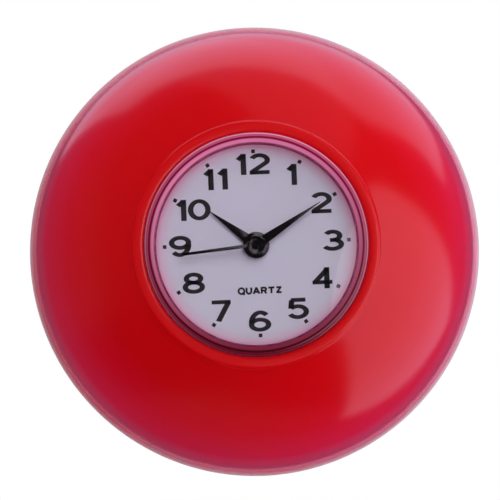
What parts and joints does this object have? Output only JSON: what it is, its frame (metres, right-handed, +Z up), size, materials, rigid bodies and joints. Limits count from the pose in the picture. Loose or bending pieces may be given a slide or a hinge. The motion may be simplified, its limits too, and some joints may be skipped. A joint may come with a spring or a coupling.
{
  "type": "suction cup wall clock",
  "caption": "Small round wall clock: a soft translucent suction-cup housing with a sealed quartz clock insert that pulls out of its front for the battery and setting knob.",
  "frame": {"origin": "where the clock's axis meets the wall plane, which is the flat ring at the back of the suction rim", "axes": "+Z up the wall to the 12 of the dial, +Y into the wall, -Y out of the dial towards the viewer, +X to the 3 of the dial"},
  "size_m": [0.07, 0.0271, 0.07],
  "materials": {
    "red_soft_pvc": "glossy translucent soft moulding",
    "clear_lens": "clear polished injection moulding",
    "black_case": "satin moulded",
    "rose_case": "gloss moulded, translucent",
    "red_silicone": "smooth moulded",
    "black_rubber": "smooth moulded",
    "white_spacer": "moulded",
    "dial_lacquer": "matt lacquer with printed figures",
    "ivory_plate": "moulded",
    "nickel_plate": "plated, fine brushed",
    "steel_screw": "turned and tumbled",
    "soft_iron": "stamped",
    "natural_nylon": "moulded",
    "copper_winding": "enamelled wire",
    "green_board": "solder mask",
    "black_resin": "cured resin blob",
    "crystal_can": "drawn metal can",
    "spring_contact": "nickel-plated strip",
    "cell_steel": "bright drawn steel",
    "cell_seal": "moulded",
    "cover_plastic": "satin moulded",
    "ferrite_magnet": "sintered",
    "brass_wheel": "cut and brushed",
    "white_acetal": "moulded",
    "black_hand": "satin lacquer"
  },
  "bodies": {
    "cup": {"suction_body": "red_soft_pvc"},
    "insert": {"case": "rose_case", "knob_seal": "black_rubber", "lens_gasket": "red_silicone", "lens_cap": "clear_lens", "spacer_ring": "white_spacer", "dial": "dial_lacquer", "main_plate": "ivory_plate", "bridge": "nickel_plate", "bridge_screws": "steel_screw", "stator": "soft_iron", "coil_core": "soft_iron", "coil_bobbin": "natural_nylon", "coil_winding": "copper_winding", "stator_screws": "steel_screw", "circuit_board": "green_board", "chip": "black_resin", "crystal": "crystal_can", "contact_positive": "spring_contact", "contact_negative": "spring_contact", "cell_can": "cell_steel", "cell_ring": "cell_seal", "cell_cap": "cell_steel"},
    "cover": {"battery_cover": "cover_plastic", "cover_gasket": "black_rubber"},
    "rotor": {"rotor_pinion": "white_acetal", "rotor_magnet": "ferrite_magnet"},
    "fifth": {"fifth_wheel": "white_acetal"},
    "second": {"second_wheel": "brass_wheel", "second_hand": "black_hand", "hand_cap": "black_hand"},
    "third": {"third_wheel": "brass_wheel"},
    "centre": {"centre_wheel": "brass_wheel", "cannon_pinion": "brass_wheel", "minute_hand": "black_hand"},
    "motion": {"motion_wheel": "white_acetal", "setting_knob": "black_case"},
    "hour": {"hour_wheel": "brass_wheel", "hour_hand": "black_hand"}
  },
  "joints": [
    {"name": "insert_pull", "type": "slide", "parent": "cup", "child": "insert", "axis": [0, -1, 0], "range_m": [0, 0.0185]},
    {"name": "cover_twist", "type": "hinge", "parent": "insert", "child": "cover", "pos_m": [0, -0.0095, -0.0074], "axis": [0, 1, 0], "range_deg": [0, 45]},
    {"name": "second_hand_turn", "type": "hinge", "parent": "insert", "child": "second", "pos_m": [0, -0.0215, 0], "axis": [0, 1, 0], "continuous": true},
    {"name": "minute_hand_turn", "type": "hinge", "parent": "insert", "child": "centre", "pos_m": [0, -0.0215, 0], "axis": [0, 1, 0], "continuous": true},
    {"name": "hour_hand_turn", "type": "hinge", "parent": "insert", "child": "hour", "pos_m": [0, -0.0225, 0], "axis": [0, 1, 0], "continuous": true},
    {"name": "knob_turn", "type": "hinge", "parent": "insert", "child": "motion", "pos_m": [0, -0.015, 0.0048], "axis": [0, 1, 0], "continuous": true},
    {"name": "third_wheel_turn", "type": "hinge", "parent": "insert", "child": "third", "pos_m": [0.00432, -0.019, 0], "axis": [0, 1, 0], "continuous": true},
    {"name": "fifth_wheel_turn", "type": "hinge", "parent": "insert", "child": "fifth", "pos_m": [-0.00432, -0.019, 0], "axis": [0, 1, 0], "continuous": true},
    {"name": "rotor_turn", "type": "hinge", "parent": "insert", "child": "rotor", "pos_m": [-0.00768, -0.019, 0], "axis": [0, 1, 0], "continuous": true}
  ],
  "couplings": [
    {"joint": "third_wheel_turn", "follows": "second_hand_turn", "ratio": -0.125},
    {"joint": "minute_hand_turn", "follows": "second_hand_turn", "ratio": 0.016667},
    {"joint": "knob_turn", "follows": "second_hand_turn", "ratio": -0.0055556},
    {"joint": "hour_hand_turn", "follows": "second_hand_turn", "ratio": 0.0013889},
    {"joint": "fifth_wheel_turn", "follows": "second_hand_turn", "ratio": -5},
    {"joint": "rotor_turn", "follows": "second_hand_turn", "ratio": 30}
  ]
}
